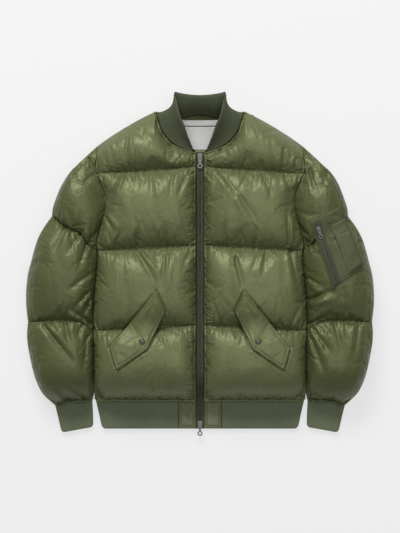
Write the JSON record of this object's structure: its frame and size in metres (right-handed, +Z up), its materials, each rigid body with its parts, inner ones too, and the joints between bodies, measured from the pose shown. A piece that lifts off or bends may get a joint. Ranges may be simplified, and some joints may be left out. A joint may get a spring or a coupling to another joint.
{
  "type": "bomber jacket",
  "caption": "Padded bomber jacket laid flat, front up and zip closed, with quilted channels, ribbed collar, cuffs and hem, flap pockets and a zipped sleeve pocket.",
  "frame": {"origin": "middle of the underside, on the surface that the jacket lies on", "axes": "+X to the wearer's left, +Y from hem to collar, +Z up out of the front"},
  "size_m": [0.7828, 0.7764, 0.1037],
  "materials": {
    "shell": "olive satin nylon",
    "rib": "olive rib knit",
    "zip_tape": "woven tape",
    "zip_metal": "brushed",
    "snap_metal": "enamelled",
    "label": "plain woven"
  },
  "bodies": {
    "root": {"back": "shell", "front_right": "shell", "front_left": "shell", "sleeve_right_top": "shell", "sleeve_right_under": "shell", "sleeve_left_top": "shell", "sleeve_left_under": "shell", "hem_tab_right": "shell", "hem_tab_left": "shell", "flap_right": "shell", "flap_left": "shell", "sleeve_pocket": "shell", "pen_pocket": "shell", "collar": "rib", "cuff_right": "rib", "cuff_left": "rib", "hem_back": "rib", "hem_front_right": "rib", "hem_front_left": "rib", "zip_tape": "zip_tape", "pocket_zip_tape": "zip_tape", "slider_top": "zip_metal", "slider_bottom": "zip_metal", "pocket_slider": "zip_metal", "snap_right": "snap_metal", "snap_left": "snap_metal", "neck_label": "label"},
    "pull_top": {"pull_top": "zip_metal"},
    "pull_bottom": {"pull_bottom": "zip_metal"},
    "pocket_pull": {"pocket_pull": "zip_metal"}
  },
  "joints": [
    {"name": "pull_top_hinge", "type": "hinge", "parent": "root", "child": "pull_top", "pos_m": [0, 0.2411, 0.0601], "axis": [-1, 0, 0], "range_deg": [0, 170]},
    {"name": "pull_bottom_hinge", "type": "hinge", "parent": "root", "child": "pull_bottom", "pos_m": [0, -0.3629, 0.0143], "axis": [-1, 0, 0], "range_deg": [0, 170]},
    {"name": "pocket_pull_hinge", "type": "hinge", "parent": "root", "child": "pocket_pull", "pos_m": [0.2643, 0.07741, 0.10004], "axis": [-0.9493, -0.3145, -0.0009], "range_deg": [0, 170]}
  ]
}
